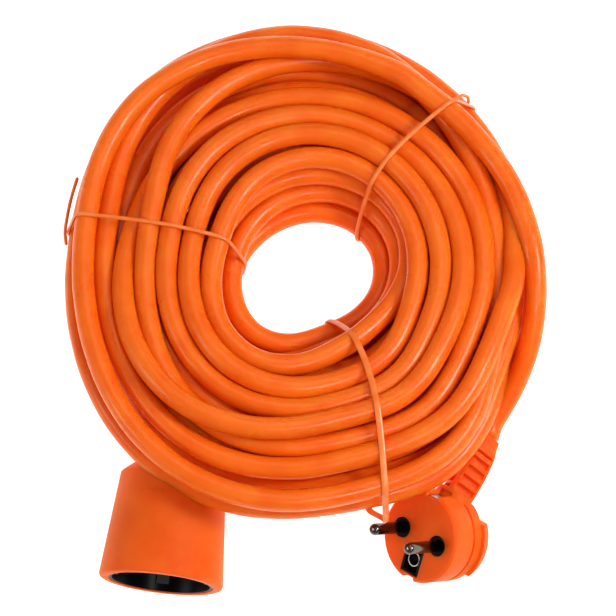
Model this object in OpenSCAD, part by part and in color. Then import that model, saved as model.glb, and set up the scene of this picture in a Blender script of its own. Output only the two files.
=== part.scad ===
// Extension cord with an earthed angled plug and a straight connector,
// wound into a flat round coil and held by three wire ties.
// Millimetres, +Z up. The origin is the middle of the footprint, on the ground.

/* [Cord] */
// Diameter of the cord's jacket
cord_d = 9; // [8:0.1:9.4]
// Clear space between neighbouring turns of one layer
turn_gap = 1.05; // [1:0.05:1.4]
// Clear space between one layer of turns and the next
layer_gap = 0.5; // [0.45:0.05:1]

/* [Coil] */
// Radius of the innermost turn, at its middle
inner_r = 31; // [29:0.5:34]
// Turns in the lowest layer, which winds inwards
turns_1 = 4.5; // [3.5:1:4.5]
// Turns in the second layer, which winds outwards
turns_2 = 5.65; // [4.65:1:5.65]
// Turns in the third layer, which winds inwards
turns_3 = 5.775; // [4.775:1:5.775]
// Turns in the top layer, which winds outwards
turns_4 = 6.41; // [5.41:1:6.41]
// How far the coil leans on the connector and the plug, in degrees
coil_tilt = 11.8; // [11.7:0.1:12.3]
// How much longer than wide the outer turns lie, as a share of their radius
coil_oval = 0.053; // [0:0.001:0.055]

/* [Connector] */
// Radius of the connector's rim
rim_r = 25; // [24:0.25:27]
// Radius of the connector's housing at its shoulder
shoulder_r = 21.2; // [19:0.1:23]
// Length of the housing from the rim to the shoulder
housing_l = 44; // [43:0.5:50]
// Radius of the recess that takes a plug
recess_r = 19.85; // [19.5:0.05:20]
// Depth of the recess
recess_l = 17.5; // [17:0.25:18.5]
// Thickness of the recess's floor
floor_t = 8; // [6:0.5:9]
// Wall of the insert round the recess
insert_wall = 1.1; // [0.8:0.1:1.4]
// Radius of a contact hole
hole_r = 2.75; // [2.7:0.05:3]

/* [Plug] */
// Radius of the plug's face
face_r = 18.75; // [18:0.25:19]
// Depth of the plug's housing behind its face
plug_depth = 22; // [21:0.5:26]
// Length of a pin beyond the face
pin_l = 19; // [18:0.5:20]
// Diameter of a pin
pin_d = 4.8; // [4:0.1:5]
// Spacing of the two pins, and of the two contact holes
pin_pitch = 19; // [18:0.5:20]
// Distance of the earth contact from the middle of the face
earth_offset = 10; // [9:0.25:10.5]
// Length of the slotted strain relief
relief_l = 24; // [20:1:30]
// Slots along the strain relief
relief_slots = 5; // [3:1:6]
// Width of a slot in the strain relief
slot_w = 2.2; // [1.5:0.1:2.6]

/* [Wire ties] */
// Width of a tie's coated strip
tie_w = 2.4; // [1.8:0.1:3]
// Thickness of a tie's coated strip
tie_t = 1.2; // [0.8:0.1:1.4]

/* [Inner parts] */
// Thickness of the earth straps
strap_t = 0.8; // [0.5:0.1:1]
// Width of the earth straps
strap_w = 5; // [4:0.5:6]
// Diameter of an insulated core
core_d = 2.8; // [2.2:0.1:3]
// Clearance round a part that is moulded or pressed in
seat_gap = 0.1; // [0.05:0.05:0.2]

/* [Hidden] */
$fn = 64;
ORANGE = "#EC6A28";
TIE_ORANGE = "#F0742C";
BLACK = "#1B1B1D";
NICKEL = "#C9C7C1";
BRASS = "#C8A24C";
STEEL = "#B9BABB";
BROWN = "#6B3F22";
BLUE = "#2A5FA8";
GREEN = "#6FA23A";

// ---- where the pieces lie -------------------------------------------------
// Middle of the coil on the ground
coil_x = -4;
coil_y = 7;
// Middle of the connector's rim, and how the connector is turned
connector_x = -62;
connector_y = -107.5;
connector_yaw = -6.6;
connector_dip = 4.2;
// Middle of the plug's face, and how the plug is turned
plug_at = [41.5, -89, 28.15];
plug_turn = [28, -32, -33];

// ---- vectors and swept tubes ----------------------------------------------
UP = [0, 0, 1];
function unit(v) = v / norm(v);
function dir_at(path, i) = unit(path[min(i + 1, len(path) - 1)] - path[max(i - 1, 0)]);
function circle_points(r, n) = [for (k = [0:n - 1]) [r * cos(360 * k / n), r * sin(360 * k / n)]];
function ring_at(path, i, section, up) =
    let (t = dir_at(path, i), side = unit(cross(up, t)), rise = cross(t, side))
    [for (q = section) path[i] + q.x * side + q.y * rise];
// A tube of one section along a path, closed by a flat face at each end
module swept(path, section, up = UP) {
    n = len(section);
    last = (len(path) - 1) * n;
    points = [for (i = [0:len(path) - 1]) each ring_at(path, i, section, up)];
    sides = [for (i = [0:len(path) - 2], k = [0:n - 1])
        let (a = i * n + k, b = i * n + (k + 1) % n)
        each [[a, b + n, b], [a, a + n, b + n]]];
    start = [for (k = [1:n - 2]) [0, k, k + 1]];
    end = [for (k = [1:n - 2]) [last, last + k + 1, last + k]];
    polyhedron(points, concat(sides, start, end), convexity = 10);
}
// The same along a closed path
module swept_ring(path, section, up) {
    n = len(section);
    count = len(path);
    round_path = concat([path[count - 1]], path, [path[0]]);
    points = [for (i = [1:count]) each ring_at(round_path, i, section, up)];
    sides = [for (i = [0:count - 1], k = [0:n - 1])
        let (a = i * n + k, b = i * n + (k + 1) % n, c = (a + n) % (count * n), d = (b + n) % (count * n))
        each [[a, d, b], [a, c, d]]];
    polyhedron(points, sides, convexity = 10);
}

// ---- the coil's route -----------------------------------------------------
// Four layers: in, out, in, out. The radius changes at a steady rate, and each
// climb to the next layer is centred on the place where the spiral turns back.
steps = 24;
start_angle = 140;
turn_pitch = cord_d + turn_gap;
layer_pitch = cord_d + layer_gap;
turn_back_1 = turns_1;
turn_back_2 = turn_back_1 + turns_2;
turn_back_3 = turn_back_2 + turns_3;
all_turns = turn_back_3 + turns_4;
climb_half = 0.27;
ease_half = 0.15;
outer_r = inner_r + turn_pitch * turns_2;
// Radius of the steady spiral after s turns
function spiral_r(s) =
    s < turn_back_1 ? inner_r + turn_pitch * (turn_back_1 - s)
    : s < turn_back_2 ? inner_r + turn_pitch * (s - turn_back_1)
    : s < turn_back_3 ? outer_r - turn_pitch * (s - turn_back_2)
    : outer_r - turn_pitch * turns_3 + turn_pitch * (s - turn_back_3);
// How far the radius is eased where the spiral turns back at s = at
function ease(s, at) = let (x = abs(s - at))
    x < ease_half ? turn_pitch * (x * x / (2 * ease_half) + ease_half / 2 - x) : 0;
function coil_r(s) = spiral_r(s) + ease(s, turn_back_1) - ease(s, turn_back_2) + ease(s, turn_back_3);
// One climb, from 0 to 1, a straight ramp with softened ends
function climb(s, at) = let (x = min(max((s - at + climb_half) / (2 * climb_half), 0), 1))
    0.7 * x + 0.3 * x * x * (3 - 2 * x);
function coil_z(s) = cord_d / 2
    + layer_pitch * (climb(s, turn_back_1) + climb(s, turn_back_2) + climb(s, turn_back_3));
function oval(r, angle) = r + coil_oval * (r - inner_r) * cos(2 * (angle - 90));
function coil_point(s) = let (angle = start_angle - 360 * s, r = oval(coil_r(s), angle))
    [r * cos(angle), r * sin(angle), coil_z(s)];
// From the coil's own level frame to where it leans
function leaned(p) = [p.x, p.y * cos(coil_tilt) + p.z * sin(coil_tilt),
    p.z * cos(coil_tilt) - p.y * sin(coil_tilt)];
ring_count = round(all_turns * steps);
leaned_turns = [for (i = [0:ring_count]) leaned(coil_point(i / steps))];
coil_lift = cord_d / 2 - min([for (p = leaned_turns) p.z]);
function in_place(p) = leaned(p) + [coil_x, coil_y, coil_lift];
turn_points = [for (p = leaned_turns) p + [coil_x, coil_y, coil_lift]];
// The tube runs straight for one diameter at each end
coil_start_dir = unit(turn_points[0] - turn_points[1]);
coil_end_dir = unit(turn_points[ring_count] - turn_points[ring_count - 1]);
coil_start = turn_points[0] + coil_start_dir * cord_d;
coil_end = turn_points[ring_count] + coil_end_dir * cord_d;
coil_path = concat([coil_start], turn_points, [coil_end]);
least_gap = min([for (i = [0:ring_count - steps / 2], j = [i + steps / 2:ring_count])
    norm(turn_points[i] - turn_points[j])]) - cord_d;
echo(least_gap = least_gap);
coil_up = [0, sin(coil_tilt), cos(coil_tilt)];

// ---- the connector's and the plug's own frames ------------------------------
function turn_x(p, a) = [p.x, p.y * cos(a) - p.z * sin(a), p.y * sin(a) + p.z * cos(a)];
function turn_y(p, a) = [p.x * cos(a) + p.z * sin(a), p.y, p.z * cos(a) - p.x * sin(a)];
function turn_z(p, a) = [p.x * cos(a) - p.y * sin(a), p.x * sin(a) + p.y * cos(a), p.z];
function turned(p, a) = turn_z(turn_y(turn_x(p, a.x), a.y), a.z);
rim_round = 1.5;
connector_turn = [90 - connector_dip, 0, connector_yaw];
connector_at = [connector_x, connector_y, rim_r * cos(connector_dip) + rim_round * sin(connector_dip)];
module connector_frame() {
    translate(connector_at) rotate(connector_turn) children();
}
module plug_frame() {
    translate(plug_at) rotate(plug_turn) children();
}
function on_connector(p) = connector_at + turned(p, connector_turn);
function on_plug(p) = plug_at + turned(p, plug_turn);

// The connector's tail, behind the rim at z = 0
neck_r = 7.5;
cone_l = 14;
neck_l = 9;
tail_z = -(housing_l + cone_l + neck_l);
connector_exit = on_connector([0, 0, tail_z]);
connector_exit_dir = turned([0, 0, -1], connector_turn);
// The plug's cord leaves sideways and a little backwards
relief_slope = 31;
relief_dir = [0, cos(relief_slope), -sin(relief_slope)];
relief_root = [0, 19.4, -17.7];
plug_exit = on_plug(relief_root + relief_dir * relief_l);
plug_exit_dir = turned(relief_dir, plug_turn);

// ---- the two free leads -----------------------------------------------------
// The points between the straight ends, from the coil to the plug
plug_lead_points = [
    [89.8, 19.5, 43], [90.5, 11, 41], [90.5, 3, 38.5], [90.5, -5, 35],
    [89.5, -12.5, 31], [87.5, -20, 27], [85, -27.5, 24], [81.5, -35, 22]];
plug_lead_path = concat([coil_end, coil_end + coil_end_dir * cord_d / 2], plug_lead_points,
    [plug_exit + plug_exit_dir * cord_d, plug_exit]);
// The points between the straight ends, from the connector to the coil
connector_lead_points = [
    [-55, -20.5, 15], [-59, -12, 12.5], [-64, -4.5, 10.5], [-69.5, 3.5, 10], [-74, 12, 10.5],
    [-76.5, 21.5, 11], [-76.3, 31, 11.5]];
connector_lead_path = concat([connector_exit, connector_exit + connector_exit_dir * cord_d],
    connector_lead_points, [coil_start + coil_start_dir * cord_d / 2, coil_start]);

module cord_coil() {
    color(ORANGE) swept(coil_path, circle_points(cord_d / 2, 6), coil_up);
}
module cord_lead_plug() {
    color(ORANGE) swept(plug_lead_path, circle_points(cord_d / 2, 10));
}
module cord_lead_connector() {
    color(ORANGE) swept(connector_lead_path, circle_points(cord_d / 2, 10));
}

// ---- the plug ---------------------------------------------------------------
// Own frame: the pins point along +Z, the face is at z = 0, the cord leaves at +Y.
face_edge = 1;
groove_z = 11;
groove_w = 1.4;
groove_deep = 0.8;
back_r = 14.5;
back_slope_z = 17;
grip_out = 1.6;
grip_half = 11;
grip_from = 16.5;
relief_r1 = 7.2;
relief_r2 = 6;
relief_collar = 2.6;
relief_core_r = 5.1;
relief_web = 3;
// The revolved shell of the housing, without its cable side
module plug_drum() {
    rotate_extrude() polygon([[0, 0], [face_r - face_edge, 0], [face_r, -face_edge],
        [face_r, -groove_z], [face_r - groove_deep, -groove_z],
        [face_r - groove_deep, -groove_z - groove_w], [face_r, -groove_z - groove_w],
        [face_r, -back_slope_z], [back_r, -plug_depth], [0, -plug_depth]]);
}
// The two raised grips at the ends of the pin line
module plug_grips() {
    intersection() {
        translate([0, 0, -plug_depth + 1])
            cylinder(r1 = face_r, r2 = face_r + grip_out, h = plug_depth - 1 - grip_from);
        translate([-face_r * 2, -grip_half, -plug_depth])
            cube([face_r * 4, grip_half * 2, plug_depth]);
        difference() {
            translate([0, 0, -plug_depth]) cylinder(r = face_r * 2, h = plug_depth);
            translate([0, 0, -plug_depth - 1]) cylinder(r = back_r, h = plug_depth + 2);
        }
    }
}
// Puts its children on the strain relief's root, with +Z along the cord
module relief_frame() {
    translate(relief_root) rotate([-90 - relief_slope, 0, 0]) children();
}
module plug_relief() {
    slots_l = relief_l - relief_collar;
    slot_pitch = slots_l / relief_slots;
    relief_frame() difference() {
        cylinder(r1 = relief_r1, r2 = relief_r2, h = relief_l);
        for (k = [0:relief_slots - 1]) translate([0, 0, slot_pitch * (k + 0.5)])
            difference() {
                translate([0, 0, -slot_w / 2]) cylinder(r = relief_r1 + 1, h = slot_w);
                translate([0, 0, -slot_w]) cylinder(r = relief_core_r, h = slot_w * 2);
                translate([-relief_web / 2, -relief_r1 * 2, -slot_w])
                    cube([relief_web, relief_r1 * 4, slot_w * 2]);
            }
    }
}
// The blend from the drum to the strain relief
shoulder_back = 17;
core_bore_r = 4.4;
module plug_shoulder() {
    relief_frame() translate([0, 0, -shoulder_back])
        cylinder(r1 = 9.5, r2 = relief_r1 + 0.5, h = shoulder_back);
}
collar_r = 4.1;
bridge_z = 4;
bridge_t = 5;
bridge_x = 28;
bridge_y = 12;
earth_box_x = 9;
earth_box_y = 11;
earth_box_at = -earth_offset - 0.5;
earth_well = 6;
// The bridge's outline, grown by a gap where the housing is cut for it
module bridge_shape(gap) {
    for (x = [-pin_pitch / 2, pin_pitch / 2]) translate([x, 0, -bridge_z - 1])
        cylinder(r = collar_r + gap, h = bridge_z + 1 + (gap > 0 ? 1 : 0));
    translate([-bridge_x / 2 - gap, -bridge_y / 2 - gap, -bridge_z - bridge_t - gap])
        cube([bridge_x + 2 * gap, bridge_y + 2 * gap, bridge_t + 2 * gap]);
    translate([-earth_box_x / 2 - gap, earth_box_at - earth_box_y / 2 - gap,
        -bridge_z - bridge_t - gap])
        cube([earth_box_x + 2 * gap, earth_box_y + 2 * gap,
            bridge_z + bridge_t + gap + (gap > 0 ? 1 : 0)]);
}
strap_in = 1.6;
strap_y = face_r - strap_in;
strap_front = 1.5;
strap_bar_z = bridge_z + bridge_t + strap_t + seat_gap;
socket_wall = 0.5;
socket_r = pin_d / 2 + 0.1 + socket_wall;
socket_front = 1;
socket_back = 16;
crimp_r = 1.9;
crimp_l = 3;
pin_tail = 10.5;
pin_tail_r = pin_d / 2 - 0.3;
pin_neck = 0.2;
// The strap's outline: a bar behind the bridge with an arm up each side
module plug_strap_shape(gap) {
    for (side = [-1, 1])
        translate([-strap_w / 2 - gap, side * (strap_y - strap_t / 2) - strap_t / 2 - gap,
            -strap_bar_z - gap])
            cube([strap_w + 2 * gap, strap_t + 2 * gap, strap_bar_z - strap_front + 2 * gap]);
    translate([-strap_w / 2 - gap, -strap_y - gap, -strap_bar_z - gap])
        cube([strap_w + 2 * gap, strap_y * 2 + 2 * gap, strap_t + 2 * gap]);
}
// The grooves that leave the strap's arms open to a socket's clips
module clip_grooves() {
    for (side = [-1, 1])
        translate([-strap_w / 2 - 0.5, side > 0 ? strap_y - 0.3 : -face_r - 1,
            -groove_z + 1.5])
            cube([strap_w + 1, face_r + 1.3 - strap_y, groove_z]);
}
chamber_r = 12.3;
chamber_z = 19.5;
module plug_body() {
    color(ORANGE) plug_frame() difference() {
        union() {
            plug_drum();
            plug_grips();
            plug_shoulder();
            plug_relief();
        }
        bridge_shape(seat_gap);
        plug_strap_shape(seat_gap);
        clip_grooves();
        translate([0, 0, -chamber_z]) cylinder(r = chamber_r, h = chamber_z - bridge_z - bridge_t);
        translate([0, -earth_offset, -socket_back - seat_gap])
            cylinder(r = socket_r + seat_gap, h = socket_back);
        relief_frame() translate([0, 0, -shoulder_back]) cylinder(r = core_bore_r, h = shoulder_back - 3);
    }
}
module plug_pin_bridge() {
    color(BLACK) plug_frame() difference() {
        bridge_shape(0);
        for (x = [-pin_pitch / 2, pin_pitch / 2]) translate([x, 0, -bridge_z - bridge_t - 1])
            cylinder(r = pin_tail_r + seat_gap / 2, h = bridge_z + bridge_t + 2);
        translate([0, -earth_offset, -bridge_z - bridge_t - 1])
            cylinder(r = socket_r + seat_gap / 2, h = bridge_z + bridge_t + 2);
        translate([-earth_box_x / 2 + 1.2, earth_box_at - earth_box_y / 2 + 1.2, -earth_well])
            cube([earth_box_x - 2.4, earth_box_y - 2.4, earth_well + 1]);
    }
}
pin_tip = 1.2;
module plug_pin(x) {
    plug_frame() translate([x, 0, 0]) rotate_extrude() polygon([[0, -pin_tail],
        [pin_tail_r, -pin_tail], [pin_tail_r, pin_neck], [pin_d / 2, pin_neck],
        [pin_d / 2, pin_l - pin_tip], [pin_d / 2 - pin_tip * 0.3, pin_l - pin_tip * 0.3],
        [pin_d / 2 - pin_tip, pin_l], [0, pin_l]]);
}
module plug_pin_line() {
    color(NICKEL) plug_pin(-pin_pitch / 2);
}
module plug_pin_neutral() {
    color(NICKEL) plug_pin(pin_pitch / 2);
}
module plug_earth_strap() {
    color(STEEL) plug_frame() difference() {
        plug_strap_shape(0);
        translate([0, -earth_offset, -strap_bar_z - 1]) cylinder(r = socket_r + seat_gap / 2, h = strap_t + 2);
    }
}
module plug_earth_socket() {
    color(BRASS) plug_frame() translate([0, -earth_offset, 0]) difference() {
        translate([0, 0, -socket_back]) cylinder(r = socket_r, h = socket_back - socket_front);
        translate([0, 0, -socket_back + 1]) cylinder(r = socket_r - socket_wall, h = socket_back);
    }
}
// Crimps sit face to face on the pins' tails and on the strap's bar
line_crimp_at = [-pin_pitch / 2, 0, -pin_tail];
neutral_crimp_at = [pin_pitch / 2, 0, -pin_tail];
earth_crimp_at = [0, -4, -strap_bar_z];
module plug_crimps() {
    color(BRASS) plug_frame()
        for (at = [line_crimp_at, neutral_crimp_at, earth_crimp_at])
            translate(at - [0, 0, crimp_l]) cylinder(r = crimp_r, h = crimp_l);
}
// An insulated core: it leaves a crimp straight, turns flat towards the strain relief
// and runs down into the cord
core_in = relief_root - relief_dir * 3;
core_straight = 1;
core_turn = 2.6;
function core_path(at, entry) = let (root = at - [0, 0, crimp_l + core_straight],
    goal = core_in + entry, before = goal - relief_dir * 6,
    flat = unit([before.x - root.x, before.y - root.y, 0]))
    [at - [0, 0, crimp_l], root, root + (flat * 0.3 - UP * 0.7) * core_turn,
        root + (flat - UP) * core_turn, before, goal];
module core_on_plug(at, entry) {
    plug_frame() swept(core_path(at, entry), circle_points(core_d / 2, 8), [1, 0.01, 0]);
}
module plug_core_line() {
    color(BROWN) core_on_plug(line_crimp_at, [-1.6, 0.6, 1]);
}
module plug_core_neutral() {
    color(BLUE) core_on_plug(neutral_crimp_at, [1.6, 0.6, 1]);
}
module plug_core_earth() {
    color(GREEN) core_on_plug(earth_crimp_at, [0, -1, -1.65]);
}

// ---- the connector ----------------------------------------------------------
// Own frame: the recess opens along +Z, the rim is at z = 0, the cord leaves at -Z.
insert_r = recess_r + insert_wall;
insert_front = 0.4;
insert_l = recess_l + floor_t;
cover_r = 17.5;
cover_l = 13;
cover_z = insert_l;
chamber_back = 8;
chamber_r_back = 12.2;
earth_wire_y = 6;
taper = (rim_r - shoulder_r) / housing_l;
module connector_shell() {
    rotate_extrude() polygon([[0, 0], [rim_r - rim_round, 0], [rim_r - rim_round * 0.3, -rim_round * 0.3],
        [rim_r, -rim_round], [shoulder_r + taper, -housing_l + 1], [shoulder_r - 0.8, -housing_l],
        [shoulder_r - 7.4, -housing_l - 5.5], [neck_r + 1, -housing_l - cone_l + 2],
        [neck_r, -housing_l - cone_l], [neck_r - 1.2, tail_z], [0, tail_z]]);
}
panel_x = 13;
panel_y = 14;
panel_deep = 0.5;
panel_at = 10;
module connector_panel() {
    rotate([0, 0, 20]) translate([-panel_x / 2, shoulder_r + 0.6 - panel_deep, -housing_l + panel_at - panel_y])
        cube([panel_x, 5, panel_y]);
}
tail_grooves = 3;
module connector_tail_grooves() {
    for (k = [0:tail_grooves - 1])
        translate([0, 0, tail_z + 1.6 + k * 2.6]) difference() {
            cylinder(r = neck_r + 1, h = 1.2);
            translate([0, 0, -1]) cylinder(r = cord_d / 2 + 0.7, h = 4);
        }
}
module connector_body() {
    color(ORANGE) connector_frame() difference() {
        connector_shell();
        translate([0, 0, -insert_l - strap_back - seat_gap])
            cylinder(r = insert_r + seat_gap, h = insert_l + strap_back + 1);
        translate([0, 0, -cover_z - cover_l - seat_gap])
            cylinder(r = cover_r + seat_gap, h = cover_l + 1);
        translate([0, 0, -cover_z - cover_l - chamber_back]) cylinder(r = chamber_r_back, h = chamber_back + 1);
        connector_panel();
        connector_tail_grooves();
    }
}
rib_w = 5;
rib_in = 2.4;
clip_w = 5;
clip_in = 0.9;
strap_slot = 0.2;
strap_back = 1;
arm_r = recess_r - clip_in;
module connector_strap_shape(gap) {
    for (side = [-1, 1])
        translate([-clip_w / 2 - gap, side * (arm_r - strap_t / 2) - strap_t / 2 - gap, -insert_l - strap_back])
            cube([clip_w + 2 * gap, strap_t + 2 * gap, insert_l - 2.2 + gap]);
    translate([-clip_w / 2 - gap, -arm_r - gap, -insert_l - strap_back - gap])
        cube([clip_w + 2 * gap, arm_r * 2 + 2 * gap, strap_back + gap]);
}
module connector_insert() {
    color(BLACK) connector_frame() difference() {
        union() {
            difference() {
                translate([0, 0, -insert_l]) cylinder(r = insert_r, h = insert_l - insert_front);
                translate([0, 0, -recess_l]) cylinder(r = recess_r, h = recess_l + 1);
            }
            for (side = [-1, 1]) intersection() {
                translate([0, 0, -recess_l - 0.5]) cylinder(r = recess_r + 0.5, h = recess_l - 1.5);
                translate([side > 0 ? recess_r - rib_in : -recess_r - 1, -rib_w / 2, -recess_l - 1])
                    cube([rib_in + 1, rib_w, recess_l]);
            }
        }
        for (x = [-pin_pitch / 2, pin_pitch / 2]) translate([x, 0, -insert_l - 1])
            cylinder(r = hole_r, h = floor_t + 2);
        connector_strap_shape(strap_slot);
    }
}
tulip_r = 3.4;
tulip_bore = pin_d / 2 + 0.05;
tulip_l = 11;
tulip_slit = 0.8;
module connector_contact(x) {
    connector_frame() translate([x, 0, -cover_z - strap_back - tulip_l]) difference() {
        cylinder(r = tulip_r, h = tulip_l);
        translate([0, 0, 1.5]) cylinder(r = tulip_bore, h = tulip_l);
        translate([-tulip_slit / 2, -tulip_r - 1, 3]) cube([tulip_slit, tulip_r * 2 + 2, tulip_l]);
    }
}
module connector_contact_line() {
    color(BRASS) connector_contact(-pin_pitch / 2);
}
module connector_contact_neutral() {
    color(BRASS) connector_contact(pin_pitch / 2);
}
module connector_contact_cover() {
    color(BLACK) connector_frame() difference() {
        translate([0, 0, -cover_z - cover_l]) cylinder(r = cover_r, h = cover_l);
        for (x = [-pin_pitch / 2, pin_pitch / 2]) {
            translate([x, 0, -cover_z - strap_back - tulip_l])
                cylinder(r = tulip_r + seat_gap, h = tulip_l + strap_back + 1);
            translate([x, 0, -cover_z - cover_l - 1]) cylinder(r = crimp_r + seat_gap, h = cover_l);
        }
        translate([-clip_w / 2 - seat_gap, -cover_r - 1, -cover_z - strap_back - seat_gap])
            cube([clip_w + 2 * seat_gap, cover_r * 2 + 2, strap_back + 1]);
        translate([0, -earth_wire_y, -cover_z - cover_l - 1]) cylinder(r = crimp_r + seat_gap, h = cover_l + 2);
    }
}
module connector_earth_strap() {
    color(STEEL) connector_frame() connector_strap_shape(0);
}
// Crimps run back from the contacts and the strap to behind the cover
contact_back = -cover_z - strap_back - tulip_l;
crimp_end = -cover_z - cover_l - 1.5;
module connector_crimps() {
    color(BRASS) connector_frame() {
        for (x = [-pin_pitch / 2, pin_pitch / 2])
            translate([x, 0, crimp_end]) cylinder(r = crimp_r, h = contact_back - crimp_end);
        translate([0, -earth_wire_y, crimp_end]) cylinder(r = crimp_r, h = -cover_z - strap_back - crimp_end);
    }
}
chamber_end = -cover_z - cover_l - chamber_back;
module core_on_connector(at, entry) {
    connector_frame() swept([[at.x, at.y, crimp_end], [at.x, at.y, crimp_end - 1.3],
        [entry.x, entry.y, chamber_end + 1.3], [entry.x, entry.y, chamber_end]],
        circle_points(core_d / 2, 8), [0.01, 1, 0]);
}
module connector_core_line() {
    color(BROWN) core_on_connector([-pin_pitch / 2, 0], [-4, 1.2]);
}
module connector_core_neutral() {
    color(BLUE) core_on_connector([pin_pitch / 2, 0], [4, 1.2]);
}
module connector_core_earth() {
    color(GREEN) core_on_connector([0, -earth_wire_y], [0, -3.2]);
}

// ---- the wire ties ------------------------------------------------------------
// A tie lies where a band pulled tight round the turns would lie. It is worked out
// in the section of the coil at one angle, from the turns that pass there.
tie_clear = 0.5;
band_sides = 16;
function turns_at(angle) = let (first = (start_angle - angle) / 360, s0 = first - floor(first))
    [for (s = [s0:1:all_turns]) [oval(coil_r(s), angle), coil_z(s)]];
// How far the band reaches in direction a of the section
function reach(turns, a) = max([for (t = turns) t.x * cos(a) + t.y * sin(a)])
    + cord_d / 2 + tie_clear + tie_t / 2;
// Corner i of the band, where two of its straight sides meet
function band_corner(turns, i) =
    let (a = 360 * i / band_sides, b = a + 360 / band_sides, h = reach(turns, a), k = reach(turns, b))
    [(h * sin(b) - k * sin(a)) / sin(b - a), (k * cos(a) - h * cos(b)) / sin(b - a)];
// A point at an angle, a radius and a height of the coil
function coil_polar(angle, r, z) = in_place([r * cos(angle), r * sin(angle), z]);
// Radius and height, in the coil's own frame, of a point in place
function coil_section(p) = let (q = p - [coil_x, coil_y, coil_lift])
    [norm([q.x, q.y * cos(coil_tilt) - q.z * sin(coil_tilt)]),
        q.y * sin(coil_tilt) + q.z * cos(coil_tilt)];
tie_section = [[-tie_t / 2, -tie_w / 2], [tie_t / 2, -tie_w / 2],
    [tie_t / 2, tie_w / 2], [-tie_t / 2, tie_w / 2]];
twist_r = 1.2;
twist_l = 3;
twist_gap = 0.3;
// A tie at an angle: its band, and its twisted ends, which stand on one corner and
// then follow the points of bend. Swing is the band's slant from the hole to the rim.
module tie(angle, swing, corner, bend, extra = []) {
    turns = concat(turns_at(angle), extra);
    band = [for (i = [0:band_sides - 1]) let (c = band_corner(turns, i))
        coil_polar(angle + swing * cos(360 * (i + 0.5) / band_sides), c.x, c.y)];
    facing = 360 * (corner + 0.5) / band_sides;
    out = leaned([cos(angle) * cos(facing), sin(angle) * cos(facing), sin(facing)]);
    foot = band[corner] + out * (tie_t / 2 + twist_gap);
    head = foot + out * twist_l;
    color(TIE_ORANGE) {
        swept_ring(band, tie_section, leaned([-sin(angle), cos(angle), 0]));
        swept(concat([foot, head], [for (p = bend) head + leaned(p)]), circle_points(twist_r, 8), leaned(UP));
    }
}
lead_beside_tie = [for (k = [4, 5]) coil_section(connector_lead_points[k])];
module tie_left() {
    tie(169, -1, 2, [[0.5, 5, 2.5], [2, 11.5, 5]], lead_beside_tie);
}
module tie_right() {
    tie(51, -4, 6, [[1, -4.5, 1.5]]);
}
module tie_front() {
    tie(290, -3.5, 0, [[-3.4, -3, 3]]);
}

cord_coil();
cord_lead_plug();
cord_lead_connector();
tie_left();
tie_right();
tie_front();
plug_body();
plug_pin_bridge();
plug_pin_line();
plug_pin_neutral();
plug_earth_strap();
plug_earth_socket();
plug_crimps();
plug_core_line();
plug_core_neutral();
plug_core_earth();
connector_body();
connector_insert();
connector_contact_cover();
connector_contact_line();
connector_contact_neutral();
connector_earth_strap();
connector_crimps();
connector_core_line();
connector_core_neutral();
connector_core_earth();
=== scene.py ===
# %% [markdown]
# # An orange extension cord, wound up and tied
# The finished CAD model comes in first, as a frame. Every
# piece below is then worked out in the same metres, so it lands where the CAD says.
# The cord, the ties, the strain relief and the pins are made anew from formulas. The
# mouldings are copies whose edges are softened. The small metal parts and those inside
# keep their CAD shape and only get a finish.

# %% Load the frame
import math
import bmesh
import bpy
import numpy as np
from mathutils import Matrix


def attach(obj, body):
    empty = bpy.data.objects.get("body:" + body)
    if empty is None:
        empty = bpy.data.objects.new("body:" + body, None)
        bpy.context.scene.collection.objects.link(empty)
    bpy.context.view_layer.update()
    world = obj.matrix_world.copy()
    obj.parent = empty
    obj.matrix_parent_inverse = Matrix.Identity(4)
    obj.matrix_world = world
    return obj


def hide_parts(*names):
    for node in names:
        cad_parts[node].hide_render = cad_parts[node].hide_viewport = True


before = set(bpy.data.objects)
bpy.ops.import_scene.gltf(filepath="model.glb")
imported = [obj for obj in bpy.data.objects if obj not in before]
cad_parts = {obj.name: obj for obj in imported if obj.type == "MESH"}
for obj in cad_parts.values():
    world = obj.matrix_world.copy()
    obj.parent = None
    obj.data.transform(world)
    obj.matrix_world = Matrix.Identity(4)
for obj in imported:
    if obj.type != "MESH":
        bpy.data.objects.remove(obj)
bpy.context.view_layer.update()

MM = 0.001

# %% [markdown]
# ## The camera
# The cord lies on the ground and is seen from almost straight above, leaning nine
# degrees towards the connector's mouth. A long lens, two metres away, keeps the coil's
# far and near sides nearly the same size. The Standard view leaves the colours as they
# are, and the medium high contrast look deepens the gaps between the turns.

# %% Camera
AIM = np.array([-3.0, 8.0, 0.0]) * MM
LEAN = math.radians(9)
FAR_AWAY = 2.0
camera_data = bpy.data.cameras.new("camera")
camera_data.lens = 286
camera_data.sensor_width = 36
camera = bpy.data.objects.new("camera", camera_data)
bpy.context.scene.collection.objects.link(camera)
camera.location = AIM + FAR_AWAY * np.array([0, -math.sin(LEAN), math.cos(LEAN)])
camera.rotation_euler = (LEAN, 0, 0)
bpy.context.scene.camera = camera
bpy.context.scene.view_settings.view_transform = "Standard"
bpy.context.scene.view_settings.look = "Medium High Contrast"
print("camera at, m:", [round(x, 3) for x in camera.location])

# %% [markdown]
# ## The cord's route
# A flat coil is a spiral that is wound in, climbs one layer, is wound out again, and so
# on. In each layer the radius changes by one pitch a turn. Where the spiral turns back,
# the radius is eased with a short parabola, and the height climbs one layer on a ramp
# with soft ends. The whole coil is then tipped about the X axis, because its near side
# lies on the connector and the plug. The numbers are those of the CAD model. Lengths
# are in millimetres from here on, and become metres when a mesh is made.

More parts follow.
